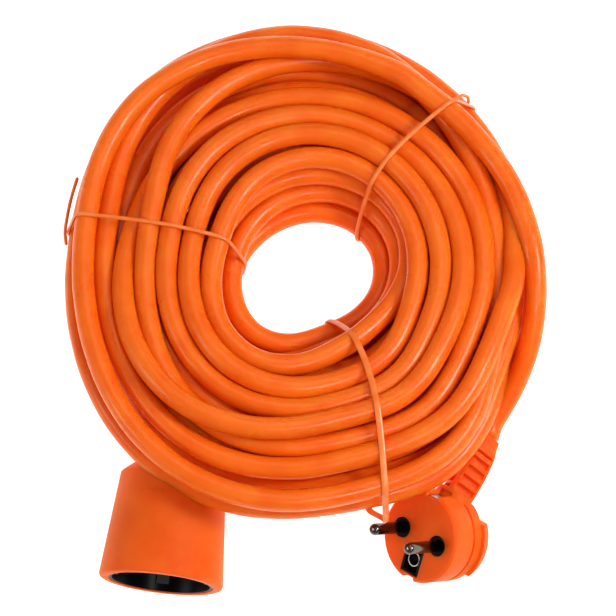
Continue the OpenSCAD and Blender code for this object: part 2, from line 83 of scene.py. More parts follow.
# %% Route of the coil
CORD_D = 9.0
TURN_PITCH, LAYER_PITCH = CORD_D + 1.05, CORD_D + 0.5
INNER_R, OVAL, TILT = 31.0, 0.053, math.radians(11.8)
TURNS = np.cumsum([4.5, 5.65, 5.775, 6.41])
START_ANGLE, MIDDLE = 140.0, np.array([-4.0, 7.0])
EASE, CLIMB = 0.15, 0.27
OUTER_R = INNER_R + TURN_PITCH * 5.65
CAD_STEPS = 24


def coil_radius(s):
    """Radius after s turns: in, out, in, out, a pitch a turn, with parabolas at the turns back."""
    back_1, back_2, back_3 = TURNS[:3]
    r = np.where(s < back_1, INNER_R + TURN_PITCH * (back_1 - s),
        np.where(s < back_2, INNER_R + TURN_PITCH * (s - back_1),
        np.where(s < back_3, OUTER_R - TURN_PITCH * (s - back_2),
                 OUTER_R - TURN_PITCH * (back_3 - back_2) + TURN_PITCH * (s - back_3))))
    for at, sign in ((back_1, 1), (back_2, -1), (back_3, 1)):
        x = np.abs(s - at)
        r = r + sign * np.where(x < EASE, TURN_PITCH * (x * x / (2 * EASE) + EASE / 2 - x), 0)
    return r


def coil_height(s):
    """Height after s turns: one layer up at each turn back, 0.7 x + 0.3 (3 x^2 - 2 x^3)."""
    z = np.full_like(s, CORD_D / 2)
    for at in TURNS[:3]:
        x = np.clip((s - at + CLIMB) / (2 * CLIMB), 0, 1)
        z = z + LAYER_PITCH * (0.7 * x + 0.3 * x * x * (3 - 2 * x))
    return z


def oval_radius(r, degrees):
    """Outer turns lie a little longer than wide: r + oval (r - inner) cos 2(angle - 90)."""
    return r + OVAL * (r - INNER_R) * np.cos(2 * np.radians(degrees - 90))


def cad_turn(s):
    """Points of the cord's middle after s turns, before the coil is tipped."""
    degrees = START_ANGLE - 360 * s
    r, a = oval_radius(coil_radius(s), degrees), np.radians(degrees)
    return np.stack([r * np.cos(a), r * np.sin(a), coil_height(s)], -1)


def lean(p):
    """Tips points about the X axis, so that the near side, at -Y, rises."""
    c, s = math.cos(TILT), math.sin(TILT)
    return np.stack([p[..., 0], p[..., 1] * c + p[..., 2] * s, p[..., 2] * c - p[..., 1] * s], -1)


cad_turns = lean(cad_turn(np.arange(round(TURNS[3] * CAD_STEPS) + 1) / CAD_STEPS))
LIFT = CORD_D / 2 - cad_turns[:, 2].min()
PLACE = np.array([MIDDLE[0], MIDDLE[1], LIFT])
cad_turns = cad_turns + PLACE
print("turns:", round(TURNS[3], 2), "coil lifted by, mm:", round(LIFT, 2))

# %% [markdown]
# ## The two free ends
# The connector lies on its rim, a little nose down, and the plug leans on its drum with
# its face turned up. Each has a frame of its own, in which its parts are simple to
# describe. The cord leaves the connector at its tail and the plug at the tip of the
# strain relief, which is bent a little aside.


# %% Frames of the connector and the plug
def turned(degrees):
    """Rotation matrix of turns about X, then Y, then Z."""
    x, y, z = np.radians(degrees)
    rx = np.array([[1, 0, 0], [0, math.cos(x), -math.sin(x)], [0, math.sin(x), math.cos(x)]])
    ry = np.array([[math.cos(y), 0, math.sin(y)], [0, 1, 0], [-math.sin(y), 0, math.cos(y)]])
    rz = np.array([[math.cos(z), -math.sin(z), 0], [math.sin(z), math.cos(z), 0], [0, 0, 1]])
    return rz @ ry @ rx


def unit(vector):
    """The same direction, with a length of 1."""
    return vector / np.linalg.norm(vector)


DIP, RIM_R, RIM_BACK = math.radians(4.2), 25, 1.5
CONNECTOR_AT = np.array([-62, -107.5, RIM_R * math.cos(DIP) + RIM_BACK * math.sin(DIP)])
CONNECTOR_TURN, TAIL_Z = turned([85.8, 0, -6.6]), -67.0
PLUG_AT, PLUG_TURN = np.array([41.5, -89, 28.15]), turned([28, -32, -33])
RELIEF_SLOPE = math.radians(31)
RELIEF_DIR = np.array([0, math.cos(RELIEF_SLOPE), -math.sin(RELIEF_SLOPE)])
RELIEF_ROOT, RELIEF_L = np.array([0, 19.4, -17.7]), 24.0
RELIEF_BEND = np.array([-2.5, 1.7, 0])


def on_connector(p):
    """From the connector's own frame, mouth at z = 0 and facing +Z, to the scene."""
    return CONNECTOR_AT + np.asarray(p, float) @ CONNECTOR_TURN.T


def on_plug(p):
    """From the plug's own frame, face at z = 0 and pins along +Z, to the scene."""
    return PLUG_AT + np.asarray(p, float) @ PLUG_TURN.T


connector_exit = on_connector([0, 0, TAIL_Z])
connector_out = CONNECTOR_TURN @ [0, 0, -1]
plug_exit = on_plug(RELIEF_ROOT + RELIEF_DIR * RELIEF_L) + RELIEF_BEND
plug_out = unit(PLUG_TURN @ RELIEF_DIR + 2 * RELIEF_BEND / RELIEF_L)
print("cord leaves at, mm:", connector_exit.round(1), "and", plug_exit.round(1))

# %% [markdown]
# ## The leads
# The coil's first end runs under the coil to the connector, and its last end comes down
# beside the coil to the plug. Both follow a few listed points. A smooth curve
# through all the points then gives one unbroken cord from connector to plug.

# %% Points of the leads, and a smooth curve
LEAD_TO_CONNECTOR = [[-55, -20.5, 15], [-59, -12, 12.5], [-64, -4.5, 10.5], [-69.5, 3.5, 10],
                     [-74, 12, 10.5], [-76.5, 21.5, 11], [-76.3, 31, 11.5]]
LEAD_TO_PLUG = [[88.8, 19.5, 43], [89.2, 11, 42], [89, 3, 40.5], [88.4, -5, 38],
                [87, -13.5, 34], [84.5, -22, 29], [80, -30.5, 24.5]]
back, on = unit(cad_turns[0] - cad_turns[1]), unit(cad_turns[-1] - cad_turns[-2])
coil_start, coil_end = cad_turns[0] + back * CORD_D, cad_turns[-1] + on * CORD_D
route_points = np.vstack([
    connector_exit, connector_exit + connector_out * CORD_D, LEAD_TO_CONNECTOR,
    coil_start + back * CORD_D / 2, coil_start, cad_turns, coil_end,
    coil_end + on * CORD_D / 2, LEAD_TO_PLUG, plug_exit + plug_out * CORD_D, plug_exit])


def run_along(points):
    """Length of the way from the first point to each point."""
    return np.concatenate([[0], np.cumsum(np.linalg.norm(np.diff(points, axis=0), axis=1))])


def smooth_curve(points, step):
    """A cubic through the points, each with the slope of the parabola through it and its two
    neighbours, then sampled at an even step along its length."""
    t = run_along(points)
    h, d = np.diff(t)[:, None], np.diff(points, axis=0) / np.diff(t)[:, None]
    slope = np.vstack([d[:1], (h[1:] * d[:-1] + h[:-1] * d[1:]) / (h[1:] + h[:-1]), d[-1:]])

    def at(u):
        i = np.clip(np.searchsorted(t, u, side="right") - 1, 0, len(t) - 2)
        w, x = (t[i + 1] - t[i])[:, None], ((u - t[i]) / (t[i + 1] - t[i]))[:, None]
        return ((1 + 2 * x) * (1 - x) ** 2 * points[i] + x * (1 - x) ** 2 * w * slope[i]
                + x * x * (3 - 2 * x) * points[i + 1] + x * x * (x - 1) * w * slope[i + 1])

    fine = np.linspace(0, t[-1], 6 * len(points))
    run = run_along(at(fine))
    return at(np.interp(np.linspace(0, run[-1], int(run[-1] / step) + 1), run, fine))


print("route points:", len(route_points))

# %% [markdown]
# ## How the turns really lie
# A hand-wound coil isn't even. It starts here as the same four layers, wound one turn
# fuller between an inner and an outer edge that are uneven ovals, and each turn wanders
# in and out by a few millimetres. The settling below then gives each turn its bed. A
# spring or rigid-body simulation could do both, but it is slow for so long a cord, and
# plain arrays give the same coil on every run.

# %% Edges of the coil
WOUND = np.cumsum([4.5, 6.2, 5.9, 6.735])
STEPS_A_TURN = 72
HOLE_AT = np.array([2.5, 7])


def soft_step(x):
    """0 below 0, 1 above 1, and 3 x^2 - 2 x^3 between."""
    x = np.clip(x, 0, 1)
    return x * x * (3 - 2 * x)


def bump_at(a, degrees, width=0.07):
    """A smooth bump round one angle, 1 at its top: exp((cos(a - angle) - 1) / width)."""
    return np.exp((np.cos(a - np.radians(degrees)) - 1) / width)


def hole_radius(a):
    """Radius of the hole in the middle at angle a, from HOLE_AT: a slanting oval."""
    return 22.3 + 3.9 * np.cos(2 * (a - np.radians(40)))


def inner_edge(a):
    """Radius of the innermost turn at angle a: half a cord outside the hole, set off with it."""
    return hole_radius(a) + CORD_D / 2 + HOLE_AT[0] * np.cos(a) + HOLE_AT[1] * np.sin(a)


def outer_edge(a):
    """Radius of the outermost turn: a few waves round an oval, drawn in at the left tie."""
    drawn_in = 2.5 * bump_at(a, 156)
    return (96.8 - 1.2 * np.cos(a) + 10.6 * np.sin(a) - 6 * np.cos(2 * a)
            + 2 * np.cos(3 * a) - 0.5 * np.sin(3 * a) - drawn_in)


print("turns:", round(WOUND[3], 2), "hole, mm:", (2 * hole_radius(np.radians([130, 40]))).round(1))

# %% [markdown]
# ### Winding it loosely
# Each turn has a share, which is 0 on the inner edge and 1 on the outer one. The upper
# layers keep further from the hole on the near side, the top layer is tucked in on the
# left, and the outside bulges where it lies against the plug. The coil's first and last
# parts blend into the CAD route, so that the leads fit on.

# %% A loosely wound start
LAYER_STEP, DOME, TUCK, BULGE = 8.5, 9.0, 3.0, 9
WANDER_OUT, WANDER_UP = [0, 3, 4, 6], [0, 2, 2.5, 3]


def wander(s, rates, starts):
    """A slow wobble: three sines of unlike rates, in cycles a turn, added in falling size."""
    waves = np.sin(2 * np.pi * (np.outer(s, rates) + starts))
    return waves @ [0.5, 0.35, 0.3]


def share_out(s):
    """Each turn's share of the way out runs down and up with the layers, and its corners are
    rounded with a Hanning bell."""
    first, second, third, end = WOUND
    share = np.interp(s, [0, first, second, third - 0.01, third, end],
                      [0.73, 0, 1, 0.10, 0.15, 1.03])
    bell = np.hanning(2 * (STEPS_A_TURN // 5) + 1)
    return np.convolve(np.pad(share, len(bell) // 2, mode="reflect", reflect_type="odd"),
                       bell / bell.sum(), "valid")


def wound_start(s):
    """The radius goes from the inner edge to the outer edge by the share, the height climbs
    one layer at each turn back, and both wobble."""
    a, share = np.radians(START_ANGLE - 360 * s), share_out(s)
    layer = np.interp(s, np.repeat(WOUND[:3], 2) + np.tile([-0.2, 0.2], 3), [0, 1, 1, 2, 2, 3])
    height = CORD_D / 2 + LAYER_STEP * sum(
        soft_step((s - at + CLIMB) / (2 * CLIMB)) for at in WOUND[:3])
    fade = np.clip((WOUND[3] - s) / 0.7, 0, 1) * np.clip((s - WOUND[0]) / 0.5, 0, 1)
    out = wander(s, [0.79, 1.37, 2.21], [0.30, 1.15, 0.36]) * np.interp(layer, range(4), WANDER_OUT)
    up = wander(s, [0.91, 1.57, 2.43], [0.71, 0.40, 1.10]) * np.interp(layer, range(4), WANDER_UP)
    dome = DOME * np.clip(layer - 1, 0, 2) / 2 * (1 - np.sin(a)) / 2
    tuck = TUCK * np.clip(layer - 2, 0, 1) * share * np.clip(-np.cos(a), 0, 1)
    bulge = BULGE * bump_at(a, 312) * np.clip(layer, 0, 1)
    inner = inner_edge(a) + dome
    r = inner + share * (outer_edge(a) + bulge - inner) + out * fade - tuck
    return np.stack([r * np.cos(a), r * np.sin(a), height + up * fade], -1)


steps = np.arange(round(WOUND[3] * STEPS_A_TURN) + 1) / STEPS_A_TURN
from_cad = soft_step((steps - 0.2) / 2.0)[:, None]
to_cad = soft_step((steps - WOUND[3] + 0.45) / 0.35)[:, None]
wound = cad_turn(np.minimum(steps, TURNS[0])) * (1 - from_cad) + wound_start(steps) * from_cad
wound = (wound * (1 - to_cad)
         + cad_turn(np.maximum(steps + TURNS[3] - WOUND[3], TURNS[2])) * to_cad)
spacing = np.linalg.norm(np.diff(wound, axis=0), axis=1).mean()
print("points:", len(wound), "spacing, mm:", round(spacing, 2))

# %% [markdown]
# ### Joining the leads on
# The leads keep their places, because the cord has to run straight into the connector
# and the plug. They are sampled at the same spacing as the coil, and the joints are
# eased. Each point gets a hold between 0, free to move, and 1, fixed.


# %% The leads, joined on
def flat_again(p):
    """Undoes lean() and the lift: from the scene back to the coil's own flat frame."""
    q = p - PLACE
    c, s = math.cos(TILT), math.sin(TILT)
    return np.stack([q[..., 0], q[..., 1] * c - q[..., 2] * s, q[..., 1] * s + q[..., 2] * c], -1)


def eased(points, passes=16):
    """Rounds off small corners: each pass moves a point half way to its neighbours' middle."""
    for _ in range(passes):
        points[1:-1] = (points[1:-1] + (points[:-2] + points[2:]) / 2) / 2
    return points


LEAD_POINTS = 11
NEAR_CONNECTOR, NEAR_PLUG = slice(1, 50), slice(-32, -1)
to_connector = flat_again(smooth_curve(route_points[:LEAD_POINTS + 1], spacing))[:-1]
to_plug = flat_again(smooth_curve(route_points[-LEAD_POINTS - 2:], spacing))[1:]
whole = np.vstack([to_connector, wound, to_plug])
whole[NEAR_CONNECTOR], whole[NEAR_PLUG] = eased(whole[NEAR_CONNECTOR]), eased(whole[NEAR_PLUG])
held = np.concatenate([
    np.ones(len(to_connector)),
    np.clip(soft_step((0.6 - steps) / 0.5) + (steps - WOUND[3] + 0.15) / 0.1, 0, 1),
    np.ones(len(to_plug))])
print("whole cord:", len(whole), "points, of them held:", int(held.sum()))

# %% [markdown]
# ### Settling
# Wherever two stretches are closer than a diameter they push each other apart, the
# cord's stiffness spreads each push along it, and a light pull presses the pile flat.
# The turns slip into the hollows between the turns below, and ride over one another
# where they cross, as they do on a real coil. Every round handles all the pairs at once
# as arrays, and bincount adds up the pushes on each point.

# %% Pushes between the turns
REACH, APART = CORD_D + 5, 40
PUSH, PRESS = 1.3, 0.06


def close_pairs(points, reach, apart):
    """All pairs of a point and a segment nearer than reach, and further than apart along it."""
    squares = (points ** 2).sum(1)
    point, segment = np.nonzero(squares[:, None] + squares - 2 * points @ points.T < reach ** 2)
    wanted = (np.abs(point - segment) > apart) & (segment < len(points) - 1)
    return point[wanted], segment[wanted]


def pushes(x, i, j):
    """For points i near segments j: the sum of the pushes on each point, half the overlap at
    a time, the number of touches that it counts in, and each pair's distance. A segment
    shares its push between its two ends by where the nearest place on it is."""
    along, to = x[j + 1] - x[j], x[i] - x[j]
    t = np.clip((to * along).sum(1) / (along ** 2).sum(1), 0, 1)[:, None]
    away = to - t * along
    far = np.linalg.norm(away, axis=1, keepdims=True) + 1e-9
    push = away / far * np.maximum(0, CORD_D - far) / 2
    count, n = (far[:, 0] < CORD_D).astype(float), len(x)
    moved = np.stack([np.bincount(i, push[:, k], n) - np.bincount(j, push[:, k] * (1 - t[:, 0]), n)
                      - np.bincount(j + 1, push[:, k] * t[:, 0], n) for k in range(3)], -1)
    touches = (np.bincount(i, count, n) + np.bincount(j, count * (1 - t[:, 0]), n)
               + np.bincount(j + 1, count * t[:, 0], n))
    return moved, touches, far


def spread_bend(shift, free, reach, share):
    """Stiffness: a shift is drawn towards the middle of the shifts at +-reach points."""
    near = shift.copy()
    near[reach:-reach] = (shift[:-2 * reach] + shift[2 * reach:]) / 2
    return shift + free * share * (near - shift)


# %% Settle the turns
def settle(start, held, rounds=480, last=140):
    """In each round: push apart what touches, keep out of the hole and off the ground,
    spread the shifts along the cord, and press down, but for the last rounds."""
    x, free = start.copy(), (1 - held)[:, None]
    loose = free[:, 0] > 0.5
    tipped, dipped = math.cos(TILT), math.sin(TILT)
    for turn in range(rounds):
        if turn % 10 == 0:
            i, j = close_pairs(x, REACH, int(APART / spacing))
        moved, touches, far = pushes(x, i, j)
        x += free * moved / np.maximum(touches, 1)[:, None] * PUSH
        off = x[:, :2] - HOLE_AT
        hole = hole_radius(np.arctan2(off[:, 1], off[:, 0]))
        room = (hole + CORD_D / 2) / np.linalg.norm(off, axis=1)
        inside = loose & (room > 1)
        x[inside, :2] = HOLE_AT + off[inside] * room[inside, None]
        shift = spread_bend(spread_bend(x - start, free, 1, 0.4), free, 4, 0.3)
        x = start + shift
        if turn < rounds - last:
            x[:, 2] -= PRESS * free[:, 0]
        x[loose, 2] = np.maximum(x[loose, 2], CORD_D / 2)
        ground = x[:, 2] * tipped - x[:, 1] * dipped + PLACE[2]
        x[:, 2] += np.maximum(0, CORD_D / 2 - ground)
    print("deepest overlap left, mm:", round(float((CORD_D - far).max()), 2))
    return x


RING_STEP = 2.4
settled = lean(settle(whole, held)) + PLACE
cord_path = smooth_curve(settled, RING_STEP)
cord_run = run_along(cord_path)

# %% [markdown]
# ## From points to a mesh
# Nearly every new piece is a grid: rows of points, joined to the next row by quads. One
# helper puts such a grid into Blender in whole arrays. Its rows may close on themselves,
# as round a tube, and its first and last rows may be closed with a cap. The UV map runs
# along the rows and the columns in millimetres, so that a pattern can follow the piece.

# %% Grid to mesh
def grid_mesh(name, grid, closed=True, caps=(True, True), uv=None, ring=False):
    """Vertices grid[i, j] joined by quads i..i+1, j..j+1; closed joins the last j to the
    first, ring joins the last i to the first, and caps fan the end rows from their middles."""
    rows, cols = grid.shape[:2]
    vertices = grid.reshape(-1, 3)
    i = np.arange(rows if ring else rows - 1)[:, None]
    j = np.arange(cols if closed else cols - 1)[None, :]
    k = (j + 1) % cols
    n = (i + 1) % rows
    quads = np.stack([i * cols + j, i * cols + k, n * cols + k, n * cols + j], -1).reshape(-1, 4)
    loops, sizes = [quads.ravel()], [np.full(len(quads), 4)]
    for end, wanted in enumerate(caps):
        if not wanted or ring:
            continue
        row = 0 if end == 0 else rows - 1
        vertices = np.vstack([vertices, grid[row].mean(0)])
        around = np.arange(cols)
        fan = np.stack([np.full(cols, len(vertices) - 1), row * cols + (around + 1) % cols,
                        row * cols + around], -1)
        loops.append((fan if end == 0 else fan[:, ::-1]).ravel())
        sizes.append(np.full(cols, 3))
    loops, sizes = np.concatenate(loops), np.concatenate(sizes)
    starts = np.concatenate([[0], np.cumsum(sizes)[:-1]])
    mesh = bpy.data.meshes.new(name)
    mesh.vertices.add(len(vertices))
    mesh.vertices.foreach_set("co", (vertices * MM).ravel())
    mesh.loops.add(len(loops))
    mesh.loops.foreach_set("vertex_index", loops.astype(np.int32))
    mesh.polygons.add(len(sizes))
    mesh.polygons.foreach_set("loop_start", starts.astype(np.int32))
    mesh.update(calc_edges=True)
    mesh.polygons.foreach_set("use_smooth", np.ones(len(sizes), bool))
    if uv is not None:
        flat = np.vstack([uv.reshape(-1, 2), np.zeros((len(vertices) - rows * cols, 2))])
        layer = mesh.uv_layers.new(name="along")
        layer.data.foreach_set("uv", flat[loops].ravel())
    mesh.validate()
    obj = bpy.data.objects.new(name, mesh)
    bpy.context.scene.collection.objects.link(obj)
    print(name, "vertices:", len(vertices), "faces:", len(sizes))
    return obj


def frames_along(path, up):
    """Side and rise at each point of a path: side is up x tangent, rise is tangent x side."""
    t = np.gradient(path, axis=0)
    t /= np.linalg.norm(t, axis=1)[:, None]
    side = np.cross(np.broadcast_to(up, t.shape), t)
    side /= np.linalg.norm(side, axis=1)[:, None]
    return side, np.cross(t, side)


def tube_grid(path, up, radius, sides):
    """Rings of points round a path: path + radius (cos(a) side + sin(a) rise)."""
    side, rise = frames_along(path, up)
    a = np.arange(sides) * 2 * np.pi / sides
    return path[:, None] + radius[..., None] * (np.cos(a)[None, :, None] * side[:, None]
                                                + np.sin(a)[None, :, None] * rise[:, None])


# %% [markdown]
# ## The cord
# The jacket is extruded PVC over three laid-up wires, so it is round and even, with only
# a faint swell where the wires under it twist. A Blender curve with a bevel would give
# the tube too, but here its radius can breathe by a few hundredths of a millimetre with
# the lay of the wires, which keeps the highlights from looking drawn with a ruler.

# %% Cord mesh
SIDES = 16
LAY, SWELL = 62.0, 0.035
around = np.arange(SIDES) * 2 * np.pi / SIDES
swell = SWELL * np.cos(3 * (around[None] - 2 * np.pi * cord_run[:, None] / LAY))
cord_grid = tube_grid(cord_path, lean(np.array([0, 0, 1.0])), CORD_D / 2 + swell, SIDES)
cord_uv = np.stack([np.broadcast_to(cord_run[:, None], swell.shape),
                    np.broadcast_to(around[None] * CORD_D / 2, swell.shape)], -1)
cord = grid_mesh("cord", cord_grid, uv=cord_uv)

# %% [markdown]
# ## Finishes
# One function turns a familiar sRGB hex colour into the linear values that Blender
# wants. Another adds a node, sets it and links it. With these two, each finish is a
# short list of what the real surface is. Noise on Object coordinates gives the grain
# and the slow changes of colour, because it has no seams and its scale can be worked
# out from a size in millimetres.

# %% Colour and node helpers
def linear(hex_colour):
    """sRGB hex to linear: c / 12.92 below 0.04045, else ((c + 0.055) / 1.055) ** 2.4."""
    c = np.array([int(hex_colour[i:i + 2], 16) / 255 for i in (1, 3, 5)])
    return (*np.where(c <= 0.04045, c / 12.92, ((c + 0.055) / 1.055) ** 2.4), 1.0)


def add(tree, kind, links=None, **settings):
    """Adds a node, sets its properties and inputs, and links inputs to other nodes' outputs."""
    node = tree.nodes.new(kind)
    for name, value in settings.items():
        if hasattr(node, name):
            setattr(node, name, value)
        else:
            node.inputs[name.replace("_", " ")].default_value = value
    for name, source in (links or {}).items():
        tree.links.new(source, node.inputs[name])
    return node


def finish(name, colour, roughness, metallic=0.0, ior=1.46, **more):
    """A new material of one colour, with its tree, its shader and its Object coordinates."""
    material = bpy.data.materials.new(name)
    material.use_nodes = True
    tree = material.node_tree
    shader = tree.nodes["Principled BSDF"]
    shader.inputs["Base Color"].default_value = linear(colour)
    shader.inputs["Roughness"].default_value = roughness
    shader.inputs["Metallic"].default_value = metallic
    if not metallic:
        shader.inputs["IOR"].default_value = ior
    for key, value in more.items():
        shader.inputs[key.replace("_", " ")].default_value = value
    where = add(tree, "ShaderNodeTexCoord").outputs["Object"]
    return material, tree, shader, where


# %% Grain and mottle
def per_mm(size_mm):
    """Noise scale whose spots are about size_mm across, on coordinates in metres."""
    return 1 / (size_mm * MM)


def grey(value):
    """A grey colour, for a value that a ramp gives to roughness."""
    return (value, value, value, 1)


def grain(tree, shader, where, size_mm, strength, depth_mm):
    """A fine bump from noise with spots of size_mm, depth_mm deep at full strength."""
    spots = add(tree, "ShaderNodeTexNoise", {"Vector": where}, Scale=per_mm(size_mm), Detail=3.0)
    bump = add(tree, "ShaderNodeBump", {"Height": spots.outputs["Fac"]},
               Strength=strength, Distance=depth_mm * MM)
    tree.links.new(bump.outputs["Normal"], shader.inputs["Normal"])


def mottle(tree, shader, where, size_mm, dark, light, socket="Base Color"):
    """Slow change between two colours, or two grey values, with patches of size_mm."""
    patches = add(tree, "ShaderNodeTexNoise", {"Vector": where}, Scale=per_mm(size_mm), Detail=4.0)
    ramp = add(tree, "ShaderNodeValToRGB", {"Fac": patches.outputs["Fac"]})
    for stop, position, colour in zip(ramp.color_ramp.elements, (0.35, 0.65), (dark, light)):
        stop.position, stop.color = position, colour
    tree.links.new(ramp.outputs["Color"], shader.inputs[socket])


# %% [markdown]
# ### Extruded PVC jacket
# Soft PVC comes out of the die smooth but not polished: a satin highlight, a saturated
# orange, and faint rubbed patches that show in the roughness more than in the colour.
# It is also slightly translucent. Red light goes deepest into it, so the turned-away
# sides and the gaps between the turns glow deep red instead of going grey. Subsurface
# scattering gives that, with a radius of five millimetres for red and far less for
# green and blue.

# %% Jacket finish
TRANSLUCENT = {"Subsurface_Weight": 0.8, "Subsurface_Radius": (1.0, 0.1, 0.03),
               "Subsurface_Scale": 5.0 * MM}
jacket, tree, shader, where = finish("extruded orange PVC jacket", "#F06414", 0.36, ior=1.53,
                                     Specular_IOR_Level=0.32, **TRANSLUCENT)
mottle(tree, shader, where, 14, linear("#EC7014"), linear("#F27E20"))
mottle(tree, shader, where, 9, grey(0.27), grey(0.38), "Roughness")
grain(tree, shader, where, 1.6, 0.15, 0.03)
cord.data.materials.append(jacket)
print(jacket.name, "nodes:", len(tree.nodes))

# %% [markdown]
# ### Moulded PVC of the plug and the connector
# Both ends are moulded onto the cord in a spark-eroded tool, which leaves an even matt
# grain of about a third of a millimetre. It is drawn at half a millimetre, because the
# real one is too fine to show. The compound is a redder and duller orange than the
# jacket's, and as translucent.

# %% Moulding finish
moulding, tree, shader, where = finish("moulded matt orange PVC", "#E8561A", 0.55, ior=1.5,
                                       Specular_IOR_Level=0.18, **TRANSLUCENT)
mottle(tree, shader, where, 16, linear("#E86418"), linear("#EE6E20"))
grain(tree, shader, where, 0.5, 0.35, 0.05)
print(moulding.name, "nodes:", len(tree.nodes))

# %% [markdown]
# ### Black insert, metals, insulation and tie strip
# The socket's insert is stiff black plastic straight from the mould. The pins are brass
# with a thin nickel plate, polished by use. Their colour is darker than nickel's: painted
# dark reflection, which keeps the pin tips dark under the bright surround. The earth clips
# are plated spring strip with the fine lines of rolling. The three cores' insulation is
# extruded in their usual colours. The ties have a glossier, paler orange coat than the cord.

# %% Small-part finishes
black, tree, shader, where = finish("moulded black polyamide", "#050506", 0.32, ior=1.53,
                                    Specular_IOR_Level=0.12)
grain(tree, shader, where, 0.4, 0.2, 0.03)
# The pins' nickel colour is darkened: painted dark reflection on the pin tips.
nickel_painted_dark, tree, shader, where = finish("polished nickel plate", "#6E6862", 0.14, metallic=1.0)
mottle(tree, shader, where, 2.5, grey(0.12), grey(0.24), "Roughness")
steel, tree, shader, where = finish("rolled plated strip", "#B9BABB", 0.28, metallic=1.0)
grain(tree, shader, where, 0.35, 0.15, 0.02)
brass, tree, shader, where = finish("turned brass", "#D2BE8A", 0.25, metallic=1.0)
grain(tree, shader, where, 0.4, 0.15, 0.02)
cores = {}
for name, colour in (("brown", "#6B3F22"), ("blue", "#2A5FA8"), ("green", "#6FA23A")):
    cores[name], tree, shader, where = finish(f"extruded {name} core PVC", colour, 0.4, ior=1.53)
    grain(tree, shader, where, 0.8, 0.12, 0.02)
strip, tree, shader, where = finish("PVC-coated tie strip", "#F27A34", 0.3, ior=1.53)
mottle(tree, shader, where, 5, linear("#F07A32"), linear("#F88C48"))
print("finishes:", [material.name for material in (black, nickel_painted_dark, steel, brass, strip)])

# %% [markdown]
# ## The three ties
# Each tie is a soft wire in a flat PVC coat. Pulled tight round a bundle, a strip takes
# the shortest way: the outline of a string drawn round all the cord sections that it
# crosses. A curve laid by eye would cut into the cord somewhere, so that outline is
# worked out, in the upright plane of each tie. For every direction the furthest section
# gives the point, so straight runs and corners both come out.


# %% A string round the sections
def sections(start, end, reach):
    """Where the cord crosses the upright plane from start to end: distance along and height."""
    along = (end - start) / np.linalg.norm(end - start)
    flat = flat_again(cord_path)
    off = (flat[:, :2] - start) @ [-along[1], along[0]]
    i = np.nonzero(off[:-1] * off[1:] <= 0)[0]
    t = (off[i] / (off[i] - off[i + 1]))[:, None]
    hit = flat[i] * (1 - t) + flat[i + 1] * t
    u = (hit[:, :2] - start) @ along
    inside = (u > -reach[0]) & (u < np.linalg.norm(end - start) + reach[1])
    return np.stack([u, hit[:, 2]], -1)[inside]


def string_round(centres, radii, count=360):
    """Outline of a string round circles: for each direction n, the circle that reaches
    furthest along n gives the point centre + radius n."""
    a = np.linspace(0, 2 * np.pi, 2000, endpoint=False)
    n = np.stack([np.cos(a), np.sin(a)], -1)
    furthest = np.argmax(centres @ n.T + radii[:, None], axis=0)
    outline = centres[furthest] + radii[furthest, None] * n
    outline = np.vstack([outline, outline[:1]])
    run = run_along(outline)
    even = np.linspace(0, run[-1], count, endpoint=False)
    return np.stack([np.interp(even, run, outline[:, k]) for k in (0, 1)], -1)


def around_loop(v, width):
    """Smooths values on a closed loop with a Hanning bell."""
    bell = np.hanning(2 * width + 1)
    wrapped = np.concatenate([v[-width:], v, v[:width]])
    return np.stack([np.convolve(wrapped[:, k], bell / bell.sum(), "valid")
                     for k in range(v.shape[1])], -1)


# %% [markdown]
# ### The strip
# The strip is a flat rounded section carried along the outline, with the wire showing
# as a low ridge in its middle. A tie isn't quite in one plane, so its top side may bow
# sideways and its lower side may lie beside it. Where the ends are twisted together they
# stand off the coil, so the string is also drawn round a small circle out there.

# %% Strip round the coil
STRIP_T, TWIST_R = 0.9, 0.8
RIDGE, RIDGE_W = 0.5, 0.45


def strip_line(start, end, reach, bow, low_shift, pull):
    """Middle line of a strip in the coil's flat frame, and the way across its plane."""
    centres = sections(start, end, reach)
    radii = np.full(len(centres), CORD_D / 2 + STRIP_T / 2 + 0.1)
    if pull:
        centres = np.vstack([centres, [centres[:, 0].max() + CORD_D / 2 + pull[0], pull[1]]])
        radii = np.append(radii, TWIST_R)
    loop = around_loop(string_round(centres, radii), 3)
    along = (end - start) / np.linalg.norm(end - start)
    across = np.array([-along[1], along[0]])
    share = np.clip((loop[:, 0] - loop[:, 0].min()) / np.ptp(loop[:, 0]), 0, 1)
    under = np.arange(len(loop)) > np.argmin(loop[:, 0])
    side = np.where(under, low_shift * soft_step((1 - share) / 0.1) * soft_step(share / 0.3),
                    bow * np.sin(np.pi * share ** 0.7))
    points = np.concatenate([start + loop[:, :1] * along + side[:, None] * across,
                             loop[:, 1:]], 1)
    return points, np.append(across, 0)


def power_wave(wave, power):
    """A sine or cosine with fuller shoulders: sign(w) |w| ** power."""
    return np.sign(wave) * np.abs(wave) ** power


